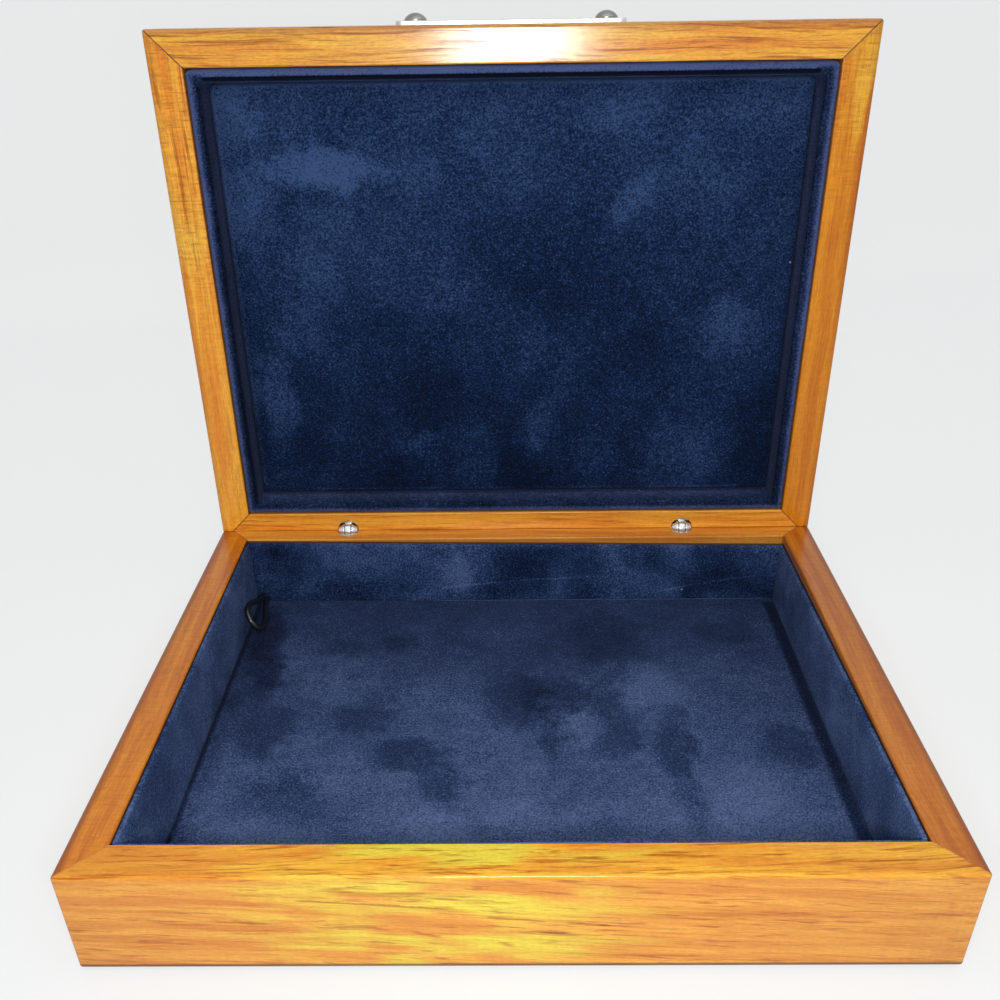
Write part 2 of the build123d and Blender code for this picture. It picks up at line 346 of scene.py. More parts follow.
def makeRoom():
    look = roomSettings
    bpy.ops.object.select_all(action="DESELECT")
    bpy.ops.mesh.primitive_plane_add(size=1)
    floor = bpy.context.object
    floor.name = "backdrop"
    bpy.ops.object.mode_set(mode="EDIT")
    bpy.ops.transform.resize(value=(look["width"], look["front"] + look["foldBehind"], 1))
    bpy.ops.transform.translate(value=(0, (look["foldBehind"] - look["front"]) / 2, 0))
    foldFrom = look["foldBehind"] - hair
    pick(floor, "EDGE", lambda middle: middle.y > foldFrom)
    extrudeUp(look["height"])

    def atFold(middle):
        return middle.y > foldFrom and middle.z < hair and abs(middle.x) < look["width"] / 4

    pick(floor, "EDGE", atFold)
    bpy.ops.mesh.bevel(offset=look["foldRound"], segments=8, affect="EDGES")
    bpy.ops.object.mode_set(mode="OBJECT")
    floor.matrix_world = Matrix.Rotation(radians(look["turn"]), 4, "Z")
    bpy.ops.object.transform_apply(location=True, rotation=True, scale=True)
    bpy.ops.object.shade_smooth_by_angle(angle=radians(30))
    pale = newFinish("pale_backdrop")
    surface = pale.add("ShaderNodeBsdfDiffuse", None, {"Color": look["colour"]})
    glow = pale.add("ShaderNodeEmission", None, {"Color": look["seenGlow"]})
    share = seenRays(pale) * look["seenShare"]
    both = pale.add("ShaderNodeMixShader", None, {0: share, 1: surface, 2: glow})
    pale.add("ShaderNodeOutputMaterial", None, {"Surface": both})
    floor.data.materials.append(pale.owner)
    world = bpy.data.worlds.new("room")
    bpy.context.scene.world = world
    sky = Finish(world)
    strength = look["light"] + seenRays(sky) * (look["seenLight"] - look["light"])
    light = sky.add("ShaderNodeBackground", None, {"Color": look["sky"], "Strength": strength})
    sky.add("ShaderNodeOutputWorld", None, {"Surface": light})


def makeLamps():
    for name, look in lampSettings.items():
        light = bpy.data.lights.new(name, "AREA")
        light.shape = "RECTANGLE"
        light.size, light.size_y = look["size"]
        light.energy = look["power"]
        holder = bpy.data.objects.new(name, light)
        holder.location = look["place"]
        aim = Vector(look["target"]) - Vector(look["place"])
        holder.rotation_euler = aim.to_track_quat("-Z", "Y").to_euler()
        bpy.context.scene.collection.objects.link(holder)


# The top of the tray's lining is level at the left and falls to the right and the back

trayLeft = halfBox("base", "base_lining_left")[1]
trayRight = halfBox("base", "base_lining_right")[1]
rightDip = 3.2  # how much lower the right lining's top is at the back than at the front
backDip = trayLeft.z - trayRight.z + rightDip


def liningTop(x, y):
    # its height at a place in the tray
    share = (y + trayRight.y) * (0.5 / trayRight.y)
    fall = share * rightDip + trayLeft.z - trayRight.z
    return trayLeft.z - (x - trayLeft.x) * (1 / (trayRight.x - trayLeft.x)) * fall


lineFade = 3.0  # over which a line fades at each end


def lineMask(finish, u, v, start, end, reach):
    # 1 on the line, fading to 0 at its reach and at its two ends
    way = Vector(end) - Vector(start)
    length = way.length
    way /= length
    offU, offV = u - start[0], v - start[1]
    aside = abs(offV * way.x - offU * way.y)
    fromMiddle = abs(offU * way.x + offV * way.y - length / 2)
    ends = 1.0 - finish.smooth(fromMiddle, length / 2 - lineFade, length / 2)
    return (1.0 - finish.smooth(aside, reach * 0.25, reach)) * ends


# Lacquered wood. Each rail has its own board: its tones on the rim and on the outside, the long
# dark streaks and short dashes of its grain, and the ripples and fine lines across it.

# Long dashes on the front: from, to (x and z), half their width, and how dark they are
frontDashes = [
    ((-56.4, -8.2), (-16.4, -11.6), 0.55, 0.8),
    ((-74.5, -20.1), (-61.4, -20.4), 0.45, 0.6),
    ((-73.3, -15.1), (-65.1, -16.4), 0.6, 0.5),
    ((-90.1, -16.6), (-77.0, -17.0), 0.6, 0.45),
    ((-28.3, -19.5), (-18.3, -22.4), 0.8, 0.65),
    ((-39.5, -23.9), (-29.5, -24.2), 0.4, 0.6),
    ((-39.5, -27.9), (-29.5, -28.6), 0.45, 0.55),
    ((-22.6, -29.6), (-17.0, -30.7), 0.8, 0.7),
    ((-5.8, -24.1), (-0.1, -25.5), 0.8, 0.7),
    ((10.5, -16.1), (24.3, -17.6), 0.6, 0.65),
    ((4.3, -20.1), (14.3, -20.3), 0.6, 0.5),
    ((28.6, -5.1), (37.4, -5.7), 0.8, 0.5),
    ((45.5, -7.9), (64.3, -8.1), 0.4, 0.5),
    ((62.4, -15.5), (76.8, -15.7), 0.6, 0.5),
    ((45.5, -22.4), (51.8, -23.9), 0.8, 0.5),
    ((60.5, -30.0), (69.3, -32.0), 1.0, 0.45),
    ((21.8, -28.6), (48.0, -29.1), 0.45, 0.45),
    ((-44.5, -3.6), (-33.3, -4.6), 0.5, 0.45),
]

plainBoard = {
    "half": "base",
    "run": "x",  # the way its grain runs
    "slant": 0.0,  # how far the grain turns aside on the rim
    "dip": 0.02,  # and on the outside
    "side": (paint(234, 158, 56), paint(214, 128, 38)),
    "streak": 0.4,
    "streakFrom": -200.0,  # where along the board the streaks start
    "sideStreak": 0.5,  # share of the streaks that shows on the outside
    "dash": 0.4,
    "longDashes": [],
    "ripple": 0.1,
    "cross": 0.0,
    "crossFrom": -200.0,  # where the ripples and cross lines start
    "grain": 0.46,
    "inside": 0.2,  # how dark the painted shade on the wall inside the rail is
    "gloss": 0.55,
    "edge": 0.3,  # how dark its outer edge is: partly the lacquer's darker edge, partly painted shade
    "joint": 0.7,  # and the line of its mitre
    "honey": [],  # painted highlight, a yellow glow for the lamp's glare: place along the board, reach and share
    "honeyTone": paint(252, 190, 58),
}

# the base's side rails are painted darker than its front and back rails: painted light, for the
# shimmer of the wood under the lamp
woodBoards = {
    "base_front_rail": {
        **plainBoard,
        "seed": 3.0, "slant": -0.02, "dip": 0.06,
        "streak": 0.95, "sideStreak": 0.45, "dash": 0.75, "longDashes": frontDashes,
        "edge": 0.0, "joint": 0.2,
        "rim": (paint(248, 182, 46), paint(228, 142, 26)),
        "side": (paint(234, 161, 56), paint(216, 133, 39)),
        "honey": [(-18.0, 62.0, 0.95)], "honeyTone": paint(230, 208, 60),
    },
    "base_back_rail": {
        **plainBoard,
        "seed": 19.0, "slant": 0.01, "dash": 0.3, "ripple": 0.25, "edge": 0.2, "joint": 0.6,
        "rim": (paint(240, 164, 58), paint(211, 126, 36)),
    },
    "base_left_rail": {
        **plainBoard,
        "run": "y", "seed": 37.0, "streak": 0.2, "ripple": 0.4, "cross": 0.55,
        "inside": 0.5, "gloss": 0.5, "edge": 0.75, "joint": 0.2,
        "rim": (paint(228, 140, 20), paint(202, 106, 8)),
    },
    "base_right_rail": {
        **plainBoard,
        "run": "y", "seed": 53.0, "streak": 0.2, "ripple": 0.35, "cross": 0.35,
        "inside": 0.6, "edge": 0.7, "joint": 0.3,
        "rim": (paint(208, 124, 26), paint(184, 96, 12)),
    },
    "lid_front_rail": {
        **plainBoard,
        "half": "lid", "seed": 71.0, "slant": 0.012, "streak": 1.0, "dash": 0.7, "grain": 0.74,
        "edge": 0.45, "joint": 0.85, "gloss": 1.0,
        "rim": (paint(255, 186, 44), paint(240, 143, 12)), "honey": [(-10.0, 60.0, 0.5)],
    },
    "lid_back_rail": {
        **plainBoard,
        "half": "lid", "seed": 83.0, "slant": 0.01, "streak": 0.7, "dash": 0.5, "ripple": 0.15,
        "edge": 0.5,
        "rim": (paint(250, 174, 56), paint(230, 138, 34)),
    },
    "lid_left_rail": {
        **plainBoard,
        "half": "lid", "run": "y", "seed": 97.0, "slant": 0.01, "streak": 0.9, "streakFrom": -15.0,
        "ripple": 0.8, "cross": 0.9, "crossFrom": -30.0, "grain": 0.6, "joint": 0.85, "gloss": 0.5,
        "rim": (paint(255, 180, 50), paint(240, 142, 26)), "honey": [(34.0, 26.0, 0.6)],
        "honeyTone": paint(255, 200, 72),
    },
    "lid_right_rail": {
        **plainBoard,
        "half": "lid", "run": "y", "seed": 113.0, "slant": -0.01, "streak": 0.5, "streakFrom": 10.0,
        "ripple": 0.7, "cross": 0.9, "crossFrom": 15.0, "grain": 0.55, "joint": 0.85, "gloss": 0.32,
        "rim": (paint(232, 144, 14), paint(210, 116, 6)), "honey": [(76.0, 22.0, 0.75)],
    },
    "lid_top_panel": {
        **plainBoard,
        "half": "lid", "seed": 131.0, "slant": 0.02, "streak": 0.7, "dash": 0.6,
        "edge": 0.0, "joint": 0.0,
        "rim": (paint(226, 160, 74), paint(206, 130, 52)),
        "side": (paint(226, 160, 74), paint(206, 130, 52)),
    },
    "base_bottom_panel": {
        **plainBoard,
        "seed": 151.0, "slant": 0.02, "streak": 0.5, "dash": 0.5, "edge": 0.0, "joint": 0.0,
        "rim": (paint(220, 156, 78), paint(200, 128, 56)),
        "side": (paint(220, 156, 78), paint(200, 128, 56)),
    },
}

# The grain's noises: how fast each changes along the board, across it and upwards, its share of
# the board's seed, how fine and rough it is, and between which of its values it shows
grainNoises = {
    "band": {
        "rates": (0.014, 0.28, 0.28), "seed": 1, "shows": (0.34, 0.66),
        "noise": {"detail": 4.0, "roughness": 0.6},
    },
    "fibre": {
        "rates": (0.05, 3.6, 3.6), "seed": 1,
        "noise": {"detail": 3.0, "roughness": 0.6},
    },
    "pores": {
        "rates": (0.5, 2.6, 2.6), "seed": 1, "shows": (0.35, 0.6),
        "noise": {"detail": 2.0, "roughness": 0.7},
    },
    "streak": {
        "rates": (0.024, 0.85, 0.85), "seed": -1, "shows": (0.5, 0.68),
        "noise": {"detail": 4.0, "roughness": 0.65},
    },
    "dash": {
        "rates": (0.085, 1.0, 1.0), "seed": 2, "shows": (0.57, 0.74),
        "noise": {"detail": 3.0, "distortion": 0.4},
    },
    "gather": {
        "rates": (0.02, 0.12, 0.12), "seed": -1,
        "noise": {"detail": 1.0},
    },
    "ripple": {
        "rates": (0.8, 0.14, 0.0), "seed": 1,
        "noise": {"detail": 3.0, "roughness": 0.6},
    },
    "check": {
        "rates": (1.5, 0.16, 0.0), "seed": 2, "shows": (0.56, 0.66),
        "noise": {"detail": 2.0},
    },
    "honey": {
        "rates": (0.03, 0.12, 0.12), "seed": 3, "shows": (0.38, 0.6),
        "noise": {"detail": 2.0},
    },
}

# How the grain is laid out, the same for every board: lengths in millimetres, and shares
grainSettings = {
    "rimEdge": (-1.3, -0.5),  # heights between which the outside turns into the rim
    "stray": (6.0, 3.0),  # how far the grain strays across the rim, and up and down outside
    "streakStart": 50.0,  # over which the streaks come in
    "crossStart": 60.0,  # over which the ripples and cross lines come in
    "plainRipple": 0.3,  # share of the ripples before that
    "gather": 0.35,  # how much the dashes keep together
    "rimDash": 0.2,  # share of the dashes that the rim lacks
    "honeyStray": 90.0,  # how far the outline of the painted glow strays
    "worn": (0.2, 3.0),  # from the outer edge, where the darkening is full and where it ends
}

# Its stains and its painted shade (inside, seam, foot, and partly edge), each with the share that
# it has at most
woodStainsAndShade = {
    "streak": (paint(160, 68, 4), 0.8),
    "dash": (paint(164, 68, 8), 0.8),
    "check": (paint(172, 80, 14), 0.7),
    "edge": (paint(126, 58, 20), 1.0),
    "inside": (paint(116, 62, 26), 1.0),
    "seam": (paint(50, 28, 20), 0.85),
    "foot": (paint(70, 46, 30), 0.8),
    "joint": (paint(84, 40, 14), 1.0),
}


def woodFinish(name, look):
    wood = newFinish(name)
    lay = grainSettings
    x, y, z = wood.halfMeasure(look["half"])
    along, across = (x, y) if look["run"] == "x" else (y, x)
    border = (boxCorner.y if look["run"] == "x" else boxCorner.x) - abs(across)
    seed = look["seed"]
    sway = wood.noise(wood.vector(along * 0.013, across * 0.04, seed), detail=1.0) - 0.5
    across = across + sway * lay["stray"][0] + along * look["slant"]
    height = z + sway * lay["stray"][1] + along * look["dip"]
    rim = wood.smooth(z, *lay["rimEdge"])

    def grain(kind):
        kindLook = grainNoises[kind]
        alongRate, acrossRate, upRate = kindLook["rates"]
        up = height * upRate + seed * kindLook["seed"]
        spot = wood.vector(along * alongRate, across * acrossRate, up)
        return wood.noise(spot, **kindLook["noise"])

    def shown(kind, noise):
        return wood.smooth(noise, *grainNoises[kind]["shows"])

    def stainedOrShaded(kind, colour, mask):
        tone, share = woodStainsAndShade[kind]
        return wood.mix(mask * share, colour, tone)

    band, fibre, pores = grain("band"), grain("fibre"), grain("pores")
    streakFrom, crossFrom = look["streakFrom"], look["crossFrom"]
    streaks = shown("streak", grain("streak"))
    streaks = streaks * wood.smooth(along, streakFrom, streakFrom + lay["streakStart"])
    streaks = streaks * (rim * (1.0 - look["sideStreak"]) + look["sideStreak"]) * look["streak"]
    dashes = shown("dash", grain("dash") + (grain("gather") - 0.5) * lay["gather"])
    dashes = dashes * look["dash"] * (1.0 - rim * lay["rimDash"])
    if look["longDashes"]:
        front = (1.0 - rim) * wood.smooth(0.0 - y, boxCorner.y - 3.0, boxCorner.y - 2.0)
        frayed = z + (pores - 0.5) * 0.8 + sway * 2.0
        for start, end, reach, dark in look["longDashes"]:
            dashes = dashes + lineMask(wood, x, frayed, start, end, reach) * front * dark
    figured = wood.smooth(along, crossFrom, crossFrom + lay["crossStart"])
    checks = shown("check", grain("check")) * shown("pores", pores) * look["cross"] * figured
    ripples = figured * (1.0 - lay["plainRipple"]) + lay["plainRipple"]
    ripples = (grain("ripple") - 0.5) * ripples * look["ripple"]
    tone = shown("band", band)
    colour = wood.mix(
        rim,
        wood.mix(tone, look["side"][1], look["side"][0]),
        wood.mix(tone, look["rim"][1], look["rim"][0]),
    )
    # painted highlight: a yellow glow where the lamp's glare and the wood's shimmer fall
    for glowPlace, glowReach, glowShare in look["honey"]:
        away = abs(along - glowPlace + (band - 0.5) * lay["honeyStray"]) * (1 / glowReach)
        honey = (1.0 - wood.smooth(away, 0.2, 1.0)) * shown("honey", grain("honey"))
        colour = wood.mix(honey * glowShare, colour, look["honeyTone"])
    colour = stainedOrShaded("streak", colour, streaks)
    colour = stainedOrShaded("dash", colour, dashes)
    colour = stainedOrShaded("check", colour, checks)
    light = 1.0 + ripples + (fibre - 0.5) * look["grain"] + (pores - 0.5) * look["grain"]
    warm = wood.vector(light, light.math("POWER", light, 1.35), light.math("POWER", light, 1.6))
    colour = wood.mix(1.0, colour, warm, "MULTIPLY")  # the dark grain is redder than the light
    # darker along the outer edge: partly the lacquer's darker edge, partly painted shade such as
    # the shadow line under the plate
    worn = (1.0 - wood.smooth(border, *lay["worn"])) * rim * look["edge"]
    colour = stainedOrShaded("edge", colour, worn)
    # painted shade on the wall inside the rail, which faces into the tray
    inside = wood.smooth(border, railWidth - 0.5, railWidth - 0.1) * (1.0 - rim)
    colour = stainedOrShaded("inside", colour, inside * look["inside"])
    if look["half"] == "base":
        # painted shade: dark lines where the lining meets the wood, and along the foot of the
        # outside
        seam = 1.0 - wood.smooth(z - liningTop(x, y), 0.4, 0.8)
        seam = wood.smooth(border, railWidth - 0.6, railWidth - 0.3) * seam
        colour = stainedOrShaded("seam", colour, seam)
        # painted shade along the bottom of the outside
        foot = 1.0 - wood.smooth(z, baseFoot + 1.3, baseFoot + 1.9)
        colour = stainedOrShaded("foot", colour, foot)
    mitre = abs(abs(x) - abs(y) - (boxCorner.x - boxCorner.y)) * (1 / sqrt(2))
    joint = (1.0 - wood.smooth(mitre, 0.1, 0.32)) * look["joint"]
    colour = stainedOrShaded("joint", colour, joint)
    relief = fibre * 0.3 - streaks * 0.5 - dashes * 0.3 - joint
    return wood.done(
        {
            "Base Color": colour,
            "Roughness": 0.36 + fibre * 0.12,
            "Specular IOR Level": 0.25,
            "Coat Weight": look["gloss"] - streaks * 0.5 + (fibre + pores - 1.0) * 0.6,
            "Coat Roughness": 0.17,
            "Normal": wood.bump(relief, 0.22, 0.12 * mm),
        }
    )


# Suede. Each finish has a ramp from its darkest nap to its lightest, and the soft marks that
# brushing left: place x and y, reach x and y, lean in degrees, and how much lighter it is.
# Its lines are painted highlights on folds and edges and painted shade and shadow in grooves and
# creases: from, to, half their width, and how much lighter they are.

lidHollow = halfBox("lid", *lidLinings)[1]
suedeSettings = {
    "lid_panel_suede": {
        "half": "lid",
        "plane": "xy",  # in which its lines lie
        "tones": (paint(2, 12, 34), paint(17, 38, 74), paint(62, 86, 131)),
        "seed": 5.0,
        "level": 0.41,  # where on the ramp it is by itself
        "nap": 0.6,
        "fibre": 2.0,
        "rise": 0.0026,  # painted light: how much lighter for each millimetre of y, for the lamp's fall-off
        "climb": 0.0,  # and of z, painted light as well
        "hem": 0.0,
        "marks": [
            (-61, 47, 19, 6, 0, 0.36),
            (-91, 63, 11, 9, 0, 0.24),
            (-90, 32, 9, 14, 0, 0.16),
            (-87, -36, 7, 19, 2, 0.25),
            (-68, 22, 12, 14, -20, 0.14),
            (-76, -8, 8, 10, 0, 0.14),
            (-33, 44, 8, 8, 0, 0.16),
            (42, 36, 6, 8, -30, 0.24),
            (38, 66, 12, 8, 0, 0.08),
            (76, -8, 10, 10, 0, 0.2),
            (64, -58, 17, 15, 10, 0.24),
            (30, -56, 8, 16, 0, 0.16),
            (-14, -60, 9, 14, 10, 0.22),
            (-36, -52, 14, 4, 24, 0.18),
            (9, -46, 6, 9, -20, 0.25),
            (20, -26, 5, 14, -20, 0.1),
            (5, -64, 9, 9, 0, -0.16),
            (20, 12, 30, 20, -20, -0.12),
            (46, -10, 12, 16, 0, -0.14),
            (-31, -34, 12, 14, 0, -0.16),
            (-78, -56, 12, 9, 0, -0.12),
            (-44, -64, 10, 8, 0, -0.12),
            (92, -50, 7, 16, 0, -0.1),
        ],
        "lines": [
            ((-98, 73.0), (98, 73.0), 1.8, 0.4),
            ((-97.6, -71), (-97.6, 71), 1.7, 0.2),
            ((98.8, -72), (98.8, 71), 1.1, -0.4),
            ((-95, -72.8), (95, -72.8), 1.2, -0.4),
            ((-80, -70.8), (88, -71.2), 0.8, 0.16),
        ],
    },
    "lid_roll_suede": {
        "half": "lid",
        "plane": "xy",
        "tones": (paint(2, 8, 26), paint(26, 42, 76), paint(78, 92, 140)),
        "seed": 8.0,
        "level": 0.99,
        "nap": 0.6,
        "fibre": 1.7,
        "rise": 0.0012,
        "climb": -0.046,
        "hem": 0.6,
        "marks": [],
        "lines": [
            ((-99, 75.6), (98, 75.6), 1.2, 0.3),
            ((-99, 74.7), (98, 74.7), 0.9, -1.6),
            ((-99.5, -75), (-99.5, 75), 1.1, -0.35),
            ((99.3, -75), (99.3, 75), 0.7, -0.25),
        ],
    },
    "tray_floor_suede": {
        "half": "base",
        "plane": "xy",
        "tones": (paint(6, 15, 39), paint(41, 58, 95), paint(104, 122, 166)),
        "seed": 11.0,
        "level": 0.55,
        "nap": 0.45,
        "fibre": 1.5,
        "rise": -0.0034,
        "climb": 0.0,
        "hem": 0.0,
        "marks": [
            (-51, 4, 10, 7, 0, -0.17),
            (-34, -15, 12, 8, -12, -0.25),
            (-24, -30, 8, 8, -30, -0.22),
            (-72, -35, 15, 12, -20, -0.2),
            (-82, -4, 8, 12, 6, -0.22),
            (0, 12, 9, 14, 0, -0.24),
            (14, 16, 14, 9, -10, -0.2),
            (11, -6, 3.5, 12, 0, -0.18),
            (33, -4, 9, 14, 0, -0.17),
            (51, -12, 6, 11, 0, -0.2),
            (52, -34, 5, 14, 0, -0.14),
            (88, -11, 9, 10, 20, -0.24),
            (34, 50, 13, 14, 0, -0.2),
            (79, 52, 12, 9, 10, -0.14),
            (-92, 44, 6, 26, 6, -0.26),
            (-91, 18, 7, 18, 0, -0.16),
            (-63, 44, 8, 6, 0, -0.12),
            (-44, 47, 6, 5, 0, -0.14),
            (20, 36, 12, 8, 0, -0.06),
            (52, 4, 5, 5, 0, -0.1),
            (20, -48, 14, 5, 0, -0.1),
            (46, 19, 10, 12, 0, 0.14),
            (24, 0, 6, 10, 0, 0.14),
            (-60, 26, 14, 14, 0, 0.12),
            (-82, 40, 8, 14, 0, 0.1),
        ],
        "lines": [
            ((-101.6, -74), (-101.6, 74), 2.2, -0.45),
            ((-100, -74), (-100, 74), 8.0, -0.12),
            ((99.6, -74), (99.6, 74), 3.4, -0.5),
            ((-34, 75.7), (100, 75.7), 0.6, 0.45),
        ],
    },
    "tray_wall_suede": {
        "half": "base",
        "plane": "xz",
        "tones": (paint(4, 14, 38), paint(35, 58, 99), paint(92, 113, 158)),
        "seed": 29.0,
        "level": 0.53,
        "nap": 1.7,
        "fibre": 2.1,
        "rise": -0.0022,
        "climb": 0.002,
        "hem": 0.06,
        "marks": [],
        "lines": [
            ((-29.6, -21.8), (2.0, -18.4), 0.6, 0.22),
            ((1.0, -18.5), (33.4, -16.8), 0.6, 0.22),
            ((55.4, -24.5), (72.8, -20.4), 0.6, 0.22),
            ((71.8, -20.6), (95.9, -16.9), 0.6, 0.22),
        ],
    },
}


# What every suede finish shares
napNoises = {
    "nap": {"scale": 0.035, "detail": 3.0, "roughness": 0.5, "distortion": 0.5},
    "stray": {"scale": 0.1, "detail": 4.0, "roughness": 0.6},
    "clump": {"scale": 0.2, "detail": 2.0},
    "fuzz": {"scale": 0.5, "detail": 1.0},
    "fibre": {"scale": 1.5, "detail": 2.0, "roughness": 0.8},
}
napSettings = {
    "clump": 0.22,
    "fuzz": 0.3,
    "markStray": 18.0,  # how far the outline of a mark strays
    "climbFrom": -15.0,  # the height from which the painted light along z counts
    "hem": (0.8, 2.8),  # from the edge, where the painted highlight is full and where it ends
    "lit": (0.12, 0.26),  # the finest fibres that catch the light, from none to full
    "litShare": 0.22,
    "lintSize": (0.016, 0.03),
    "lint": paint(190, 198, 214),
    "lintShare": 0.7,
}


def suedeFinish(name, look):
    suede = newFinish(name)
    shared = napSettings
    x, y, z = suede.halfMeasure(look["half"])
    place = suede.vector(x, y, z + look["seed"])

    def uneven(kind, spot):
        # from about -0.5 to 0.5
        return suede.noise(spot, **napNoises[kind]) - 0.5

    nap, clump = uneven("nap", place), uneven("clump", place)
    fibre, fuzz = uneven("fibre", place), uneven("fuzz", place)
    strayX = uneven("stray", place) * shared["markStray"]
    strayY = uneven("stray", suede.vector(y, z, x)) * shared["markStray"]
    # painted light: lighter along y and z for how the lamp's light falls off and lies on slopes
    slope = y * look["rise"] + (z - shared["climbFrom"]) * look["climb"]
    tone = look["level"] + nap * look["nap"] + clump * shared["clump"] + slope
    for placeX, placeY, reachX, reachY, lean, lighter in look["marks"]:
        turn = radians(lean)
        offX, offY = x - placeX + strayX, y - placeY + strayY
        along = (offX * cos(turn) + offY * sin(turn)) * (1 / reachX)
        across = (offY * cos(turn) - offX * sin(turn)) * (1 / reachY)
        tone = tone + suede.smooth(1.0 - along * along - across * across, -0.9, 0.9) * lighter
    if look["hem"]:
        # painted highlight on the folded edge: the lid roll's outer rim, or the top of the tray's
        # lining
        if look["half"] == "lid":
            fromSide, fromEnd = lidHollow.x - abs(x), lidHollow.y - abs(y)
            hem = fromSide.math("MINIMUM", fromSide, fromEnd)
        else:
            hem = liningTop(x, y) - z
        tone = tone + (1.0 - suede.smooth(hem, *shared["hem"])) * look["hem"]
    tone = tone + fibre * look["fibre"] + fuzz * shared["fuzz"]
    tone = tone + suede.smooth(fibre, *shared["lit"]) * shared["litShare"]
    # painted highlights on folds and edges, painted shade and shadow in grooves and creases
    for start, end, reach, lighter in look["lines"]:
        if look["plane"] == "xz":
            # on the tray's back wall, and on no other
            line = lineMask(suede, x, z, start, end, reach) * suede.smooth(y, 70.0, 74.0)
        else:
            line = lineMask(suede, x, y, start, end, reach)
        tone = tone + line * lighter
    stops = list(zip((0.0, 0.45, 1.0), look["tones"]))
    colour = suede.add("ShaderNodeValToRGB", {"stops": stops}, {"Fac": tone})
    sockets = {"Vector": place, "Scale": 0.06}
    lint = suede.add("ShaderNodeTexVoronoi", {"feature": "F1"}, sockets, "Distance")
    rare = suede.add("ShaderNodeSeparateXYZ", None, {"Vector": lint.other("Color")})
    specks = (1.0 - suede.smooth(lint, *shared["lintSize"])) * suede.smooth(rare, 0.8, 0.82)
    colour = suede.mix(specks * shared["lintShare"], colour, shared["lint"])
    return suede.done(
        {
            "Base Color": colour,
            "Roughness": 0.95,
            "Specular IOR Level": 0.1,
            "Sheen Weight": 0.12,
            "Sheen Roughness": 0.5,
            "Sheen Tint": (0.36, 0.48, 0.9, 1.0),
            "Normal": suede.bump(fibre + fuzz, 0.6, 0.3 * mm),
        }
    )


# Metal, felt, card and cord


def nickelFinish(name, dark, light):
    nickel = newFinish(name)
    place = nickel.objectPlace()
    cloud = nickel.noise(place, scale=260.0, detail=2.0)
    drawn = nickel.add("ShaderNodeMapping", None, {"Vector": place, "Scale": (300, 4000, 4000)})
    scratch = nickel.noise(drawn, detail=2.0)
    return nickel.done(
        {
            "Base Color": nickel.mix(cloud, dark, light),
            "Metallic": 1.0,
            "Roughness": 0.2 + cloud * 0.12 + scratch * 0.08,
            "Normal": nickel.bump(scratch, 0.06, 0.02 * mm),
        }
    )


def feltFinish():
    felt = newFinish("black_felt")
    place = felt.objectPlace()
    fuzz = felt.noise(place, scale=1400.0, detail=3.0, roughness=0.7)
    patch = felt.noise(place, scale=60.0, detail=2.0)
    colour = felt.mix(fuzz * 0.7 + patch * 0.3, paint(14, 14, 16), paint(56, 56, 60))
    relief = felt.bump(fuzz, 0.6, 0.2 * mm)
    return felt.done({"Base Color": colour, "Roughness": 0.95, "Normal": relief})


def cardFinish():
    card = newFinish("lining_card")
    fibre = card.noise(card.objectPlace(), scale=600.0, detail=4.0)
    colour = card.mix(fibre, paint(150, 138, 118), paint(188, 176, 154))
    relief = card.bump(fibre, 0.3, 0.05 * mm)
    return card.done({"Base Color": colour, "Roughness": 0.85, "Normal": relief})


def cordFinish():
    cord = newFinish("black_cord")
    place = cord.objectPlace()
    settings = {"wave_type": "BANDS", "bands_direction": "DIAGONAL"}
    sockets = {"Vector": place, "Scale": 520.0, "Distortion": 1.5}
    weave = cord.add("ShaderNodeTexWave", settings, sockets, "Fac")
    fuzz = cord.noise(place, scale=1800.0, detail=2.0)
    colour = cord.mix(weave * 0.6 + fuzz * 0.4, paint(6, 7, 7), paint(34, 37, 36))
    return cord.done(
        {
            "Base Color": colour,
            "Roughness": 0.24 + fuzz * 0.2,
            "Coat Weight": 0.5,
            "Coat Roughness": 0.16,
            "Normal": cord.bump(weave, 0.5, 0.12 * mm),
        }
    )


def dress(node, material):
    for slot in frame["nodes"][node].material_slots:
        slot.material = material


# The pull loop: points from the tray's back left corner, at the floor

loopSettings = {
    "corner": (-102.1, 76.6, 7.5),
    "points": [
        (3.8, 0.0, 1.1),
        (3.8, -5.0, 1.1),
        (5.0, -10.6, 1.1),
        (6.1, -16.6, 1.1),
        (6.6, -21.6, 1.3),
        (5.0, -24.6, 3.2),
        (2.6, -24.2, 7.2),
        (1.15, -21.2, 9.6),
        (1.1, -16.0, 8.8),
        (1.3, -10.2, 5.9),
        (2.0, -5.0, 3.0),
        (2.2, 0.0, 2.75),
    ],
    "diameter": 2.0,
    "length": 56.5,
}


def makeLoop():
    corner = Vector(loopSettings["corner"])
    route = [(corner + Vector(point)) * mm for point in loopSettings["points"]]
    curve = bpy.data.curves.new("pullLoop", "CURVE")
    curve.dimensions = "3D"
    curve.bevel_depth = loopSettings["diameter"] / 2 * mm
    curve.bevel_resolution = 5
    curve.resolution_u = 12
    spline = curve.splines.new("NURBS")
    spline.points.add(len(route) - 1)
    for target, point in zip(spline.points, route):
        target.co = (*point, 1)
    spline.order_u = 3
    spline.use_endpoint_u = True
    loop = bpy.data.objects.new("pullLoop", curve)
    bpy.context.scene.collection.objects.link(loop)
    curve.materials.append(cordFinish())
    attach(loop, "base")
    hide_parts("pull_loop")


# The lid's border: one upholstered roll round the hollow, cut at its mitres into four strips

rollSettings = {
    "inset": 4.64,  # the inner corners are merged afterwards, which leaves the roll 4 wide
    "corner": 3.0,
    "outerRound": 1.4,
    "innerRound": 2.2,
    "cell": 4.0,
    "wave": 0.45,
    "waveSize": 11.0,
    "looseFrom": 0.5,  # share of the thickness from which the cloth waves
    "fill": 0.9,
}


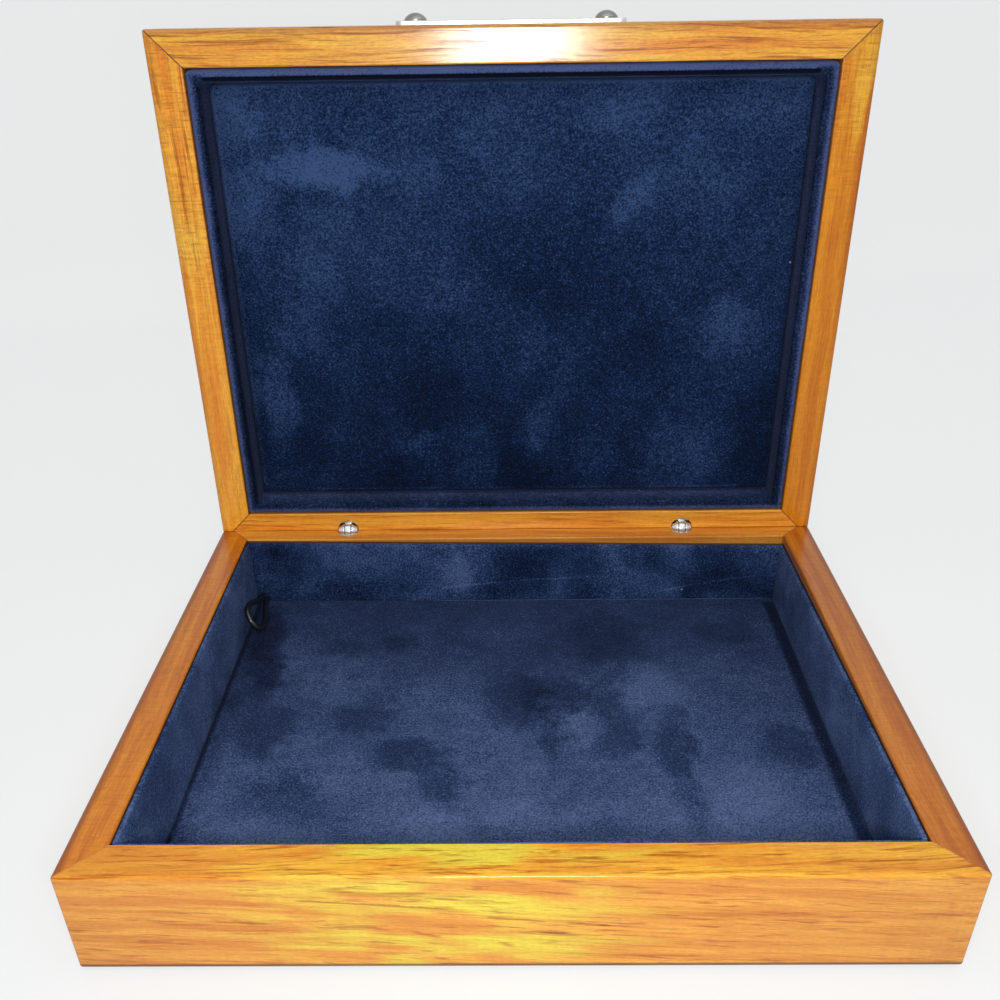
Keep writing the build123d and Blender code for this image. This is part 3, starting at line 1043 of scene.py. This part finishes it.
def makeLidRoll(material):
    look = rollSettings
    low, high = halfBox("lid", *lidLinings)
    width, height, thick = high - low
    roll = startPiece("lidRoll", width, height)
    bpy.ops.mesh.bevel(offset=look["corner"], segments=5, affect="VERTICES")
    bpy.ops.mesh.select_all(action="SELECT")
    bpy.ops.mesh.inset(thickness=look["inset"], depth=0)
    bpy.ops.mesh.delete(type="FACE")
    innerX, innerY = width / 2 - look["corner"], height / 2 - look["corner"]

    def innerCorner(point):
        # in the quarter of the roll at sideX and sideY
        return 0 < sideX * point.x < innerX + hair and 0 < sideY * point.y < innerY + hair

    for sideX in (-1, 1):
        for sideY in (-1, 1):
            pick(roll, "VERT", innerCorner)
            bpy.ops.mesh.merge(type="CENTER")
    bpy.ops.mesh.select_all(action="SELECT")
    extrudeUp(thick)

    def innerEdge(middle):
        return middle.z > thick - hair and abs(middle.x) < innerX and abs(middle.y) < innerY

    def outerEdge(middle):
        outside = abs(middle.x) > width / 2 - 1 or abs(middle.y) > height / 2 - 1
        return middle.z > thick - hair and outside

    pick(roll, "EDGE", innerEdge)
    bpy.ops.mesh.bevel(offset=look["innerRound"], segments=6, affect="EDGES")
    pick(roll, "EDGE", outerEdge)
    bpy.ops.mesh.bevel(offset=look["outerRound"], segments=5, affect="EDGES")
    cutAcross(width / 2, look["cell"], Vector((1, 0, 0)))
    cutAcross(height / 2, look["cell"], Vector((0, 1, 0)))
    closeShape()
    ruffle(roll, look, lambda point: point.z > thick * look["looseFrom"])
    mitre = Vector((width, height)) / 2 - Vector((look["corner"], look["corner"]))
    strips = {"right": (1, 0), "front": (0, 1), "left": (-1, 0), "back": (0, -1)}
    place = halfPlaces["lid"] @ Matrix.Translation(Vector((0, 0, low.z)) * mm) @ Matrix.Scale(mm, 4)
    for name, (sideX, sideY) in strips.items():
        bpy.ops.object.select_all(action="DESELECT")
        roll.select_set(True)
        bpy.context.view_layer.objects.active = roll
        bpy.ops.object.duplicate()
        strip = bpy.context.object
        strip.name = strip.data.name = "lidRoll" + name.capitalize()
        bpy.ops.object.mode_set(mode="EDIT")
        for turn in (-1, 1):
            # the corner at this end of the strip, and the way past its mitre
            if sideX:
                corner, past = (sideX * mitre.x, turn * mitre.y, 0), (-sideX, turn, 0)
            else:
                corner, past = (turn * mitre.x, sideY * mitre.y, 0), (turn, -sideY, 0)
            cut = {"plane_co": corner, "plane_no": past, "threshold": cutSlack}
            bpy.ops.mesh.select_all(action="SELECT")
            bpy.ops.mesh.bisect(**cut, use_fill=True, clear_outer=True)
        closeShape()
        placePiece(strip, place)
        dressPiece(strip, "lid", material, "lid_suede", "lid_lining_" + name)
    bpy.data.objects.remove(roll)


# The padded panel inside the lid: swelled by a cloth simulation from its pinned back

padSettings = {
    "corner": 2.2,
    "round": 1.6,
    "cell": 2.6,
    "mass": 0.002,
    "pressure": 6.0,
    "stretch": 12.0,
    "bend": 1.5,
    "held": 0.1,  # height up to which the points stay
    "quality": 6,
    "steps": 20,  # of the simulation
    "swell": 0.8,  # the furthest that a point may move
    "fill": 0.8,
}


def makeLidPad(material):
    look = padSettings
    low, high = halfBox("lid", "lid_pad")
    width, height, thick = high - low
    pad = startPiece("lidPad", width, height)
    bpy.ops.mesh.bevel(offset=look["corner"], segments=4, affect="VERTICES")
    bpy.ops.mesh.select_all(action="SELECT")
    extrudeUp(thick)
    pick(pad, "EDGE", lambda middle: middle.z > thick - hair)
    bpy.ops.mesh.bevel(offset=look["round"], segments=4, affect="EDGES")
    cutAcross(width / 2, look["cell"], Vector((1, 0, 0)))
    cutAcross(height / 2, look["cell"], Vector((0, 1, 0)))
    closeShape()
    pinned = pad.vertex_groups.new(name="pinned")
    held = [point.index for point in pad.data.vertices if point.co.z < look["held"]]
    pinned.add(held, 1.0, "REPLACE")
    middle = (low + high) / 2
    middle.z = low.z
    placePiece(pad, halfPlaces["lid"] @ Matrix.Translation(middle * mm) @ Matrix.Scale(mm, 4))
    swellPad(pad, look)
    pad.vertex_groups.clear()
    smooth = pad.modifiers.new("smooth", "SUBSURF")
    smooth.levels = smooth.render_levels = 1
    bpy.ops.object.modifier_apply(modifier="smooth")
    dressPiece(pad, "lid", material, "lid_suede", "lid_pad")


def swellPad(pad, look):
    flat = [point.co.copy() for point in pad.data.vertices]
    cloth = pad.modifiers.new("cloth", "CLOTH")
    cloth.settings.quality = look["quality"]
    cloth.settings.mass = look["mass"]
    cloth.settings.tension_stiffness = cloth.settings.compression_stiffness = look["stretch"]
    cloth.settings.bending_stiffness = look["bend"]
    cloth.settings.vertex_group_mass = "pinned"
    cloth.settings.use_pressure = True
    cloth.settings.uniform_pressure_force = look["pressure"]
    cloth.settings.effector_weights.gravity = 0
    for step in range(look["steps"]):
        bpy.context.scene.frame_set(step + 1)
    bpy.ops.object.modifier_apply(modifier="cloth")
    bpy.context.scene.frame_set(1)
    moves = [point.co - start for point, start in zip(pad.data.vertices, flat)]
    print("lid pad swelled by up to", round(max(move.length for move in moves) / mm, 2), "mm")
    for point, start, move in zip(pad.data.vertices, flat, moves):
        point.co = start + move * min(1, look["swell"] * mm / max(move.length, 1e-9))


# The tray's floor pad and its four wall linings: suede over card

wallLook = {
    "corner": 0.3, "round": 0.5, "slope": 0, "cell": 4.0, "wave": 0.3, "waveSize": 24.0,
    "looseFrom": 0.4, "suede": "tray_wall_suede", "fill": None,
}

traySettings = {
    "base_floor_pad": {
        "name": "floorPad", "turn": None, "corner": 1.2, "round": 0.8, "slope": 0, "cell": 5.0,
        "wave": 0.5, "waveSize": 38.0, "looseFrom": 0.4, "suede": "tray_floor_suede",
        "fill": 0.9,
    },
    "base_lining_back": {**wallLook, "name": "liningBack", "turn": 0, "slope": backDip},
    "base_lining_left": {**wallLook, "name": "liningLeft", "turn": 90},
    "base_lining_front": {
        **wallLook, "name": "liningFront", "turn": 180, "slope": rightDip - backDip,
    },
    "base_lining_right": {**wallLook, "name": "liningRight", "turn": -90, "slope": -rightDip},
}


def makeTrayPiece(node, look, material):
    low, high = halfBox("base", node)
    width, depth, height = high - low
    place = halfPlaces["base"] @ Matrix.Scale(mm, 4)
    if look["turn"] is None:
        thick = height
        sizeX, sizeY = width, depth
        place = place @ Matrix.Translation(((low.x + high.x) / 2, (low.y + high.y) / 2, low.z))
    else:
        alongX = look["turn"] % 180 == 0
        thick = depth if alongX else width
        sizeX, sizeY = (width if alongX else depth), height
        outer = {0: high.y, 90: -low.x, 180: -low.y, -90: high.x}[look["turn"]]
        place = (
            place
            @ Matrix.Rotation(radians(look["turn"]), 4, "Z")
            @ Matrix.Translation((0, outer, (low.z + high.z) / 2))
            @ Matrix.Rotation(radians(90), 4, "X")
        )
    piece = startPiece(look["name"], sizeX, sizeY)
    if look["slope"]:
        pick(piece, "VERT", lambda point: point.y > 0 and point.x * look["slope"] > 0)
        bpy.ops.transform.translate(value=(0, -abs(look["slope"]), 0))
        bpy.ops.mesh.select_all(action="SELECT")
    bpy.ops.mesh.bevel(offset=look["corner"], segments=3, affect="VERTICES")
    bpy.ops.mesh.select_all(action="SELECT")
    extrudeUp(thick)
    pick(piece, "EDGE", lambda middle: middle.z > thick - hair)
    bpy.ops.mesh.bevel(offset=look["round"], segments=4, affect="EDGES")
    cutAcross(sizeX / 2, look["cell"], Vector((1, 0, 0)))
    cutAcross(sizeY / 2, look["cell"], Vector((0, 1, 0)))
    closeShape()
    ruffle(piece, look, lambda point: point.z > thick * look["looseFrom"])
    placePiece(piece, place)
    dressPiece(piece, "base", material, "tray_suede", node)
    return piece


makeCamera()
makeLoop()
makeRoom()
makeLamps()
print("camera, loop, room and lamps made")

for node, look in woodBoards.items():
    dress(node, woodFinish(node.replace("_rail", "") + "_wood", look))
suede = {name: suedeFinish(name, look) for name, look in suedeSettings.items()}
nickel = nickelFinish("polished_nickel", paint(196, 194, 188), paint(236, 234, 230))
# the plate's pins get a darker copy of the nickel: a painted dark reflection
darkReflectionNickel = nickelFinish("dull_nickel", paint(116, 114, 108), paint(168, 166, 160))
for node in frame["nodes"]:
    if node.startswith("hinge_") or node == "name_plate":
        dress(node, nickel)
    if node.startswith("plate_"):
        dress(node, darkReflectionNickel)
dress("base_underside_felt", feltFinish())
card = cardFinish()
dress("base_floor_board", card)
dress("lid_pad_board", suede["lid_panel_suede"])
print("materials made")

makeLidRoll(suede["lid_roll_suede"])
makeLidPad(suede["lid_panel_suede"])
print("lid lining made")
for node, look in traySettings.items():
    piece = makeTrayPiece(node, look, suede[look["suede"]])
print("tray lining made")

bpy.context.scene.view_settings.view_transform = "Standard"
